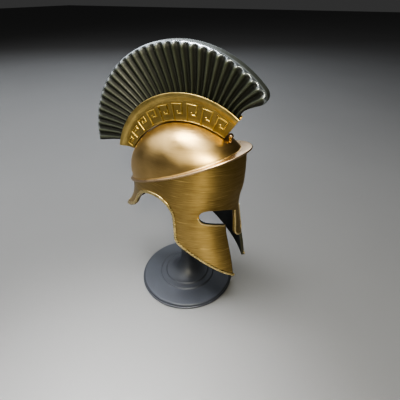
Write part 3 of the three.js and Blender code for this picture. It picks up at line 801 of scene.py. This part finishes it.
def fillet(profile, radii, steps=5):
    """Rounds the corners of a profile: each corner is cut back by its radius and bridged by a
    curve that pulls towards it."""
    profile = np.asarray(profile, float)
    out = [profile[:1]]
    for before, corner, after, radius in zip(profile[:-2], profile[1:-1], profile[2:], radii):
        to_before, to_after = before - corner, after - corner
        cut = min(radius, 0.45 * np.linalg.norm(to_before), 0.45 * np.linalg.norm(to_after))
        start = corner + to_before / np.linalg.norm(to_before) * cut
        end = corner + to_after / np.linalg.norm(to_after) * cut
        out.append(bezier(steps, start, corner, end) if radius > 0 else corner[None])
    return np.concatenate(out + [profile[-1:]])


def base_mesh():
    """Lipped disc with two low steps that sweeps up into a slender neck, bored for the post."""
    socket = POST["radius"] + POST["gap"]
    profile = [(0, 0), (32.4, 0), (BASE_RADIUS, 0.5), (BASE_RADIUS, 1.3), (32.3, 1.5), (32.3, 2.6),
               (31.6, 3.3), (19.6, 4.05), (19.1, 4.75), (15.6, 5.0), (15.1, 5.8)]
    sweep = bezier(24, profile[-1], (8.5, 6.4), (4.6, 12.5), (4.1, 18))[1:]
    top = [(3.75, 22.8), (3.7, 23.6), (3.3, 24), (socket, 24), (socket, 8.7), (0, 8.7)]
    radii = [0.3, 0.4, 0.3, 0.25, 0.3, 0.7, 0.4, 0.4, 0.4, 0.5, *[0] * len(sweep),
             0.2, 0.2, 0.2, 0.1, 0]
    corners = np.concatenate([profile, sweep, top])
    return lathe("base", fillet(corners, radii), 160)


def post_mesh():
    """Plain rod with a domed top."""
    radius, top = POST["radius"], POST["top"]
    bend = np.linspace(0, np.pi / 2, 10)
    cap = np.stack([radius * np.cos(bend), top - radius + radius * np.sin(bend)], -1)
    return lathe("post", np.concatenate([[(0, POST["bottom"]), (radius, POST["bottom"])], cap]), 48)


# ---- materials

class Finish:
    """A node material under construction: a shader and short calls for the usual nodes."""

    def __init__(self, name, **constants):
        self.material = bpy.data.materials.new(name)
        self.material.use_nodes = True
        self.tree = self.material.node_tree
        self.shader = self.tree.nodes["Principled BSDF"]
        self.where = self.tree.nodes.new("ShaderNodeTexCoord").outputs["Object"]
        for socket, value in constants.items():
            self.shader.inputs[socket.replace("_", " ")].default_value = value

    def node(self, kind, output, inputs, **settings):
        """A node whose inputs are set to values or fed by outputs; gives one of its outputs."""
        made = self.tree.nodes.new("ShaderNode" + kind)
        for name, value in settings.items():
            setattr(made, name, value)
        sockets = {socket.identifier: socket for socket in made.inputs}
        for name, value in inputs.items():
            if isinstance(value, bpy.types.NodeSocket):
                self.tree.links.new(value, sockets[name])
            else:
                sockets[name].default_value = value
        return next(socket for socket in made.outputs if socket.identifier == output)

    def set(self, socket, output):
        """Feeds an output into one of the shader's sockets."""
        self.tree.links.new(output, self.shader.inputs[socket])

    def noise(self, scale, detail=3.0, stretch=(1, 1, 1), shift=(0, 0, 0), rough=0.55):
        """Noise over the piece's own coordinates, with scale lumps to the metre."""
        place = self.node("Mapping", "Vector",
                          {"Vector": self.where, "Scale": stretch, "Location": shift})
        return self.node("TexNoise", "Fac", {"Vector": place, "Scale": scale, "Detail": detail,
                                             "Roughness": rough})

    def ramp(self, value, stops):
        """Grey that follows a value through stops of (value, grey)."""
        colour = self.node("ValToRGB", "Color", {"Fac": value})
        elements = colour.node.color_ramp.elements
        while len(elements) < len(stops):
            elements.new(0.5)
        for element, (at, grey) in zip(elements, stops):
            element.position = at
            element.color = (grey, grey, grey, 1)
        return colour

    def mix(self, factor, first, second):
        """Colour between two, which are colours or outputs."""
        first, second = (value if isinstance(value, bpy.types.NodeSocket) else (*value, 1)
                         for value in (first, second))
        return self.node("Mix", "Result_Color", {"Factor_Float": factor, "A_Color": first,
                                                 "B_Color": second}, data_type="RGBA")

    def scale(self, value, low, high, from_low=0.0, from_high=1.0):
        """The range from_low to from_high stretched to low to high, and cut off at its ends."""
        return self.node("MapRange", "Result", {
            "Value": value, "From Min": from_low, "From Max": from_high, "To Min": low,
            "To Max": high})

    def math(self, operation, first, second):
        """Sum or product of two numbers or outputs."""
        return self.node("Math", "Value", {"Value": first, "Value_001": second},
                         operation=operation)

    def attribute(self, name):
        """A number stored on the mesh's points."""
        return self.node("Attribute", "Fac", {}, attribute_name=name)

    def bump(self, height, distance):
        """Fine relief that reaches distance metres at a height of 1."""
        self.set("Normal", self.node("Bump", "Normal", {"Height": height, "Distance": distance}))


def bronze_finish(name, dark, light, roughness, streak_bump, streak_mix, brushed):
    """Satin bronze plating: level brush lines, cloudy tone and tiny pits; brushed metal also gets
    thin streaks lighter than its light tone, painted highlights along the brush lines.
    """
    finish = Finish(name, Metallic=1.0, Anisotropic=brushed, Anisotropic_Rotation=0.25)
    if brushed:
        around = finish.node("Tangent", "Tangent", {}, direction_type="RADIAL", axis="Z")
        finish.set("Tangent", around)
    cloud = finish.noise(70, 4, shift=(0.3, 0.1, 0.7))
    streak = finish.noise(1.0, 5, stretch=(90, 90, 3200), rough=0.65)
    fine = finish.noise(1.0, 3, stretch=(260, 260, 7000), rough=0.6)
    tone = finish.math("ADD", finish.scale(cloud, 0, 1 - streak_mix, 0.3, 0.7),
                       finish.scale(streak, 0, streak_mix, 0.35, 0.65))
    colour = finish.mix(tone, dark, light)
    if brushed:
        # painted highlight: thin level streaks, half again as light as the light tone
        painted_streak_highlight = finish.noise(1.0, 2, stretch=(75, 75, 1500), shift=(0.4, 0.2, 0.9))
        painted_streak_highlight = finish.scale(painted_streak_highlight, 0, 0.6, 0.61, 0.74)
        colour = finish.mix(painted_streak_highlight, colour, tuple(1.5 * part for part in light))
    finish.set("Base Color", colour)
    rough = finish.math("ADD", finish.scale(streak, -0.07, 0.07, 0.3, 0.7),
                        finish.scale(cloud, roughness - 0.05, roughness + 0.05, 0.3, 0.7))
    finish.set("Roughness", rough)
    lines = finish.math("ADD", finish.math("MULTIPLY", streak, 0.7),
                        finish.math("MULTIPLY", fine, 0.3))
    finish.bump(lines, streak_bump)
    return finish.material


# dark tone, light tone, roughness, height of the streaks in metres, share of streaks in the
# tone, and how strongly the metal is brushed
BRONZE = {
    "brushed": ((0.245, 0.163, 0.058), (0.49, 0.355, 0.152), 0.38, 0.00009, 0.65, 0.8),
    # border: a lighter copy of the bronze, a painted highlight along the raised border
    "border": ((0.54, 0.42, 0.19), (0.74, 0.60, 0.30), 0.28, 0.00003, 0.4, 0.0),
    # bead: a much lighter copy of the bronze, a painted highlight for the bright line along the
    # slot's floor and the nose
    "bead": ((0.70, 0.55, 0.27), (0.90, 0.74, 0.42), 0.30, 0.00002, 0.4, 0.0),
    "satin": ((0.47, 0.322, 0.135), (0.62, 0.445, 0.215), 0.37, 0.00002, 0.35, 0.0),
    # rim: a paler, pinker copy of the bronze, a painted reflection of the ceiling on the ledge; the
    # stud wears it too
    "rim": ((0.48, 0.35, 0.22), (0.60, 0.46, 0.31), 0.33, 0.00001, 0.3, 0.0),
}


def make_materials():
    """All finishes, by name."""
    made = {name: bronze_finish("bronze_" + name, *row) for name, row in BRONZE.items()}
    inside = Finish("inside_black", Metallic=0.0)
    grain = inside.noise(900, 3)
    inside.set("Base Color", inside.mix(grain, (0.008, 0.009, 0.010), (0.022, 0.024, 0.024)))
    inside.set("Roughness", inside.scale(grain, 0.42, 0.6))
    inside.bump(grain, 0.00003)
    made["inside"] = inside.material

    cut = Finish("cut_dark", Metallic=0.3)
    cut.set("Base Color", cut.mix(cut.noise(700, 3), (0.045, 0.044, 0.028), (0.10, 0.10, 0.068)))
    cut.shader.inputs["Roughness"].default_value = 0.5
    made["cut"] = cut.material

    gold = Finish("holder_gold", Metallic=1.0)
    height = gold.attribute("above_field")
    cloud = gold.noise(160, 4)
    toned = gold.mix(gold.scale(cloud, 0, 1, 0.3, 0.7), (0.50, 0.37, 0.14), (0.72, 0.56, 0.24))
    # painted shade: the sunk field between border and flange is drawn halfway towards a dark brown,
    # as if shaded in its recess; border and flange keep the plain gold
    field = gold.ramp(gold.scale(height, 0, 1, -9, 6),
                      [(0.0, 1), (0.10, 0.5), (0.55, 0.5), (0.66, 0.8), (1.0, 1)])
    gold.set("Base Color", gold.mix(field, (0.32, 0.225, 0.075), toned))
    gold.set("Roughness", gold.scale(cloud, 0.30, 0.44, 0.3, 0.7))
    gold.bump(gold.noise(2600, 3), 0.00002)
    made["holder"] = gold.material

    key = Finish("key_gold", Metallic=1.0)
    cloud = key.noise(300, 4)
    # painted highlight: the raised bars are a lighter gold than the holder, as if catching the
    # light
    key.set("Base Color", key.mix(cloud, (0.62, 0.46, 0.15), (0.80, 0.63, 0.24)))
    key.set("Roughness", key.scale(cloud, 0.25, 0.35, 0.3, 0.7))
    key.bump(key.noise(2200, 3), 0.00003)
    made["key"] = key.material

    crest = Finish("crest_black", Metallic=0.0)
    cloud = crest.noise(120, 5)
    specks = crest.noise(1500, 2)
    ridge = crest.mix(cloud, (0.040, 0.046, 0.028), (0.078, 0.088, 0.056))
    # the 'groove' layer is painted shade: the paint goes near black in the grooves and faintly
    # along the crown's top
    groove = crest.attribute("groove")
    painted = crest.mix(crest.scale(groove, 0, 0.92, 0.05, 0.6), ridge, (0.006, 0.007, 0.004))
    crown = crest.attribute("crown")
    brushed = crest.math("MULTIPLY", crown, crest.scale(specks, 0.75, 0.95, 0.3, 0.6))
    crest.set("Base Color", crest.mix(brushed, painted, (0.40, 0.435, 0.47)))
    crest.set("Metallic", brushed)
    grain = crest.math("ADD", cloud, specks)
    worn = crest.scale(grain, -0.06, 0.06, 0.7, 1.3)
    plain = crest.math("ADD", crest.scale(crown, 0.42, 0.20), worn)
    crest.set("Roughness", crest.math("ADD", plain, crest.scale(groove, 0, 0.25)))
    crest.shader.inputs["IOR"].default_value = 1.6
    crest.bump(grain, 0.00004)
    made["crest"] = crest.material

    stand = Finish("stand_black", Metallic=0.0)
    cloud = stand.noise(60, 5)
    stand.set("Base Color", stand.mix(cloud, (0.025, 0.028, 0.036), (0.055, 0.060, 0.074)))
    stand.set("Roughness", stand.scale(cloud, 0.40, 0.54, 0.3, 0.7))
    stand.bump(stand.noise(1800, 2), 0.00002)
    made["stand"] = stand.material
    return made


# ---- the object

finishes = make_materials()

# for each node its slot and the pieces that stand for it: name, mesh, finishes, and the angle in
# degrees past which an edge is sharp
DRESS = {
    "helmet_shell": ("bronze", [
        ("mask", face_wall(), ("brushed", "inside", "cut"), 50),
        ("edge_border", edge_border(), ("border",), 60),
        ("slot_bead", thin_bead(("slot_end_floor", "floor")), ("bead",), 60),
        ("nose_bead", thin_bead(("nose_tip", "nose")), ("bead",), 60),
        ("dome", dome_mesh(), ("satin", "inside"), 60),
        ("brow_rim", rim_mesh(), ("rim",), 60),
        ("brow_stud", stud_mesh(), ("rim",), 180),
    ]),
    "crest_holder": ("holder_gold", [
        ("crest_holder_band", holder_mesh(), ("holder",), 35),
        ("greek_key", key_mesh(), ("key",), 60),
    ]),
    "crest": ("crest_black", [("crest_fan", crest_mesh(), ("crest",), 50)]),
    "stand_base": ("stand_black", [("round_base", base_mesh(), ("stand",), 40)]),
    "support_post": ("stand_black", [("inner_post", post_mesh(), ("stand",), 40)]),
}
for node, (slot, pieces) in DRESS.items():
    for name, mesh, finish_names, smooth_angle in pieces:
        add_piece(name, mesh, [finishes[key] for key in finish_names], node, smooth_angle)


# ---- floor, light and camera

def make_floor():
    """Wide pale floor with a faint mottle, just under the base."""
    far = 4000
    mesh = make_mesh("floor", [[-far, -far, 0], [far, -far, 0], [far, far, 0], [-far, far, 0]],
                     [[0, 1, 2, 3]])
    floor = bpy.data.objects.new("floor", mesh)
    bpy.context.scene.collection.objects.link(floor)
    pale = Finish("floor_pale", Metallic=0.0)
    pale.set("Base Color", pale.mix(pale.noise(6, 3), (0.165, 0.165, 0.165), (0.185, 0.185, 0.185)))
    pale.shader.inputs["Roughness"].default_value = 0.6
    mesh.materials.append(pale.material)


# direction and distance from what it lights, width and height in metres, power in watts and
# colour; the floor's pool also has the place that it lights and its spread in degrees
LIGHTS = {
    "overhead": ((-0.08, 0.20, 0.97), 0.70, (0.25, 0.28), 5.4, (0.97, 0.98, 1.0)),
    "front_warm": ((-0.70, -0.40, 0.58), 0.55, (0.09, 0.09), 2.3, (1.0, 0.94, 0.74)),
    "window_behind": ((-0.10, 0.80, 0.60), 1.0, (1.2, 0.7), 5.5, (0.95, 0.97, 1.0)),
    "window_right": ((0.72, 0.47, 0.48), 1.0, (0.7, 0.42), 2.9, (0.86, 0.92, 1.0)),
    "wall_left": ((-0.84, 0.20, 0.52), 1.0, (0.6, 0.6), 1.5, (1, 1, 1)),
    "floor_pool": ((0.0, 0.0, 1.0), 0.35, (0.08, 0.08), 0.17, (1, 1, 1), (-125, -15, 0), 45),
}
HELMET_MIDDLE = (0, 0, 90)
WORLD = {"grey": 0.5, "strength": 0.12}


def add_light(name, direction, distance, size, power, colour, target=HELMET_MIDDLE, spread=180):
    """Soft rectangular light that faces its target squarely."""
    light = bpy.data.lights.new(name, "AREA")
    light.shape = "RECTANGLE"
    light.size, light.size_y = size
    light.energy = power
    light.color = colour
    light.spread = math.radians(spread)
    lamp = bpy.data.objects.new(name, light)
    bpy.context.scene.collection.objects.link(lamp)
    toward = Vector(direction).normalized()
    lamp.location = Vector(target) * MM + toward * distance
    lamp.rotation_euler = toward.to_track_quat("Z", "Y").to_euler()


def make_lights():
    """Cool light overhead, a warm one in front, two windows behind that rim the crest, a pale
    wall on the left, a lamp that makes a soft pool on the floor, and faint grey all round."""
    for name, row in LIGHTS.items():
        add_light(name, *row)
    scene = bpy.context.scene
    scene.view_settings.view_transform = "AgX"
    scene.view_settings.look = "AgX - High Contrast"
    scene.view_settings.exposure = -0.1
    scene.world = bpy.data.worlds.new("studio")
    scene.world.use_nodes = True
    background = scene.world.node_tree.nodes["Background"]
    background.inputs["Color"].default_value = (*[WORLD["grey"]] * 3, 1)
    background.inputs["Strength"].default_value = WORLD["strength"]


CAMERA = {"place": (-145.9, -77.9, 178.0), "forward": (0.7526, 0.3477, -0.5592),
          "up": (0.5076, 0.2346, 0.8290), "lens": 27.9, "sensor": 36.0}


def make_camera():
    """Camera that looks 34 degrees down, from the helmet's right and a little in front."""
    data = bpy.data.cameras.new("camera")
    data.lens, data.sensor_width = CAMERA["lens"], CAMERA["sensor"]
    data.clip_start, data.clip_end = 0.01, 50
    camera = bpy.data.objects.new("camera", data)
    bpy.context.scene.collection.objects.link(camera)
    forward = Vector(CAMERA["forward"]).normalized()
    right = forward.cross(Vector(CAMERA["up"])).normalized()
    up = right.cross(forward)
    turn = Matrix((right, up, -forward)).transposed()
    camera.matrix_world = Matrix.Translation(Vector(CAMERA["place"]) * MM) @ turn.to_4x4()
    bpy.context.scene.camera = camera


make_floor()
make_lights()
make_camera()
